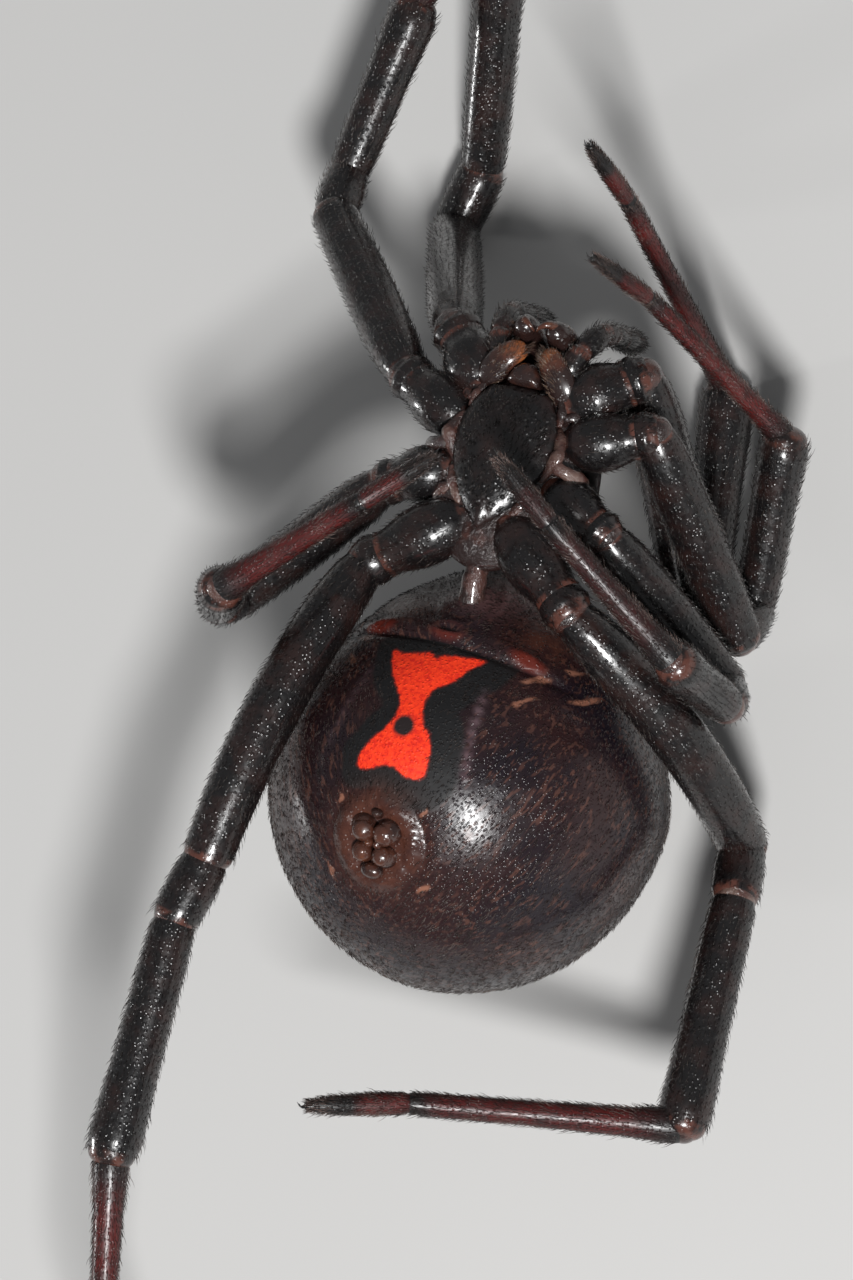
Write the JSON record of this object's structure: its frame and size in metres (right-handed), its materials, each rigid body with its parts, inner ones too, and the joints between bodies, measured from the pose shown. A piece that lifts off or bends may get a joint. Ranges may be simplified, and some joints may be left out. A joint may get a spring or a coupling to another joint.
{
  "type": "black widow spider",
  "caption": "Life-size female black widow spider lying on its back, a still museum model with bent legs and a round abdomen.",
  "frame": {"origin": "middle of the small flat on the back of the abdomen that rests on the ground", "axes": "+X is the spider's left, +Y its front, +Z its belly side, which is up because it lies on its back"},
  "size_m": [0.0114, 0.033, 0.0084],
  "materials": {
    "abdomen_black": "glossy black cuticle with a purple-brown tint",
    "shell_black": "glossy black cuticle",
    "leg_black": "glossy black cuticle",
    "foot_brown": "satin dark red-brown cuticle",
    "mouth_brown": "satin brown cuticle",
    "joint_skin": "matt brown-pink skin",
    "eye_black": "polished black lens"
  },
  "bodies": {
    "root": {"abdomen": "abdomen_black", "carapace": "shell_black", "chelicera_left": "shell_black", "chelicera_right": "shell_black", "eye_front_middle_left": "eye_black", "eye_front_middle_right": "eye_black", "eye_front_side_left": "eye_black", "eye_front_side_right": "eye_black", "eye_rear_middle_left": "eye_black", "eye_rear_middle_right": "eye_black", "eye_rear_side_left": "eye_black", "eye_rear_side_right": "eye_black", "leg_1_left_coxa": "leg_black", "leg_1_left_femur": "leg_black", "leg_1_left_foot": "foot_brown", "leg_1_left_patella": "leg_black", "leg_1_left_tibia": "leg_black", "leg_1_right_coxa": "leg_black", "leg_1_right_femur": "leg_black", "leg_1_right_foot": "foot_brown", "leg_1_right_patella": "leg_black", "leg_1_right_tibia": "leg_black", "leg_2_left_coxa": "leg_black", "leg_2_left_femur": "leg_black", "leg_2_left_foot": "foot_brown", "leg_2_left_patella": "leg_black", "leg_2_left_tibia": "leg_black", "leg_2_right_coxa": "leg_black", "leg_2_right_femur": "leg_black", "leg_2_right_foot": "foot_brown", "leg_2_right_patella": "leg_black", "leg_2_right_tibia": "leg_black", "leg_3_left_coxa": "leg_black", "leg_3_left_femur": "leg_black", "leg_3_left_foot": "foot_brown", "leg_3_left_patella": "leg_black", "leg_3_left_tibia": "leg_black", "leg_3_right_coxa": "leg_black", "leg_3_right_femur": "leg_black", "leg_3_right_foot": "foot_brown", "leg_3_right_patella": "leg_black", "leg_3_right_tibia": "leg_black", "leg_4_left_coxa": "leg_black", "leg_4_left_femur": "leg_black", "leg_4_left_foot": "foot_brown", "leg_4_left_patella": "leg_black", "leg_4_left_tibia": "leg_black", "leg_4_right_coxa": "leg_black", "leg_4_right_femur": "leg_black", "leg_4_right_foot": "foot_brown", "leg_4_right_patella": "leg_black", "leg_4_right_tibia": "leg_black", "mouth": "mouth_brown", "palp_left": "leg_black", "palp_right": "leg_black", "spinnerets": "mouth_brown", "sternum": "shell_black", "waist": "joint_skin"}
  },
  "joints": []
}
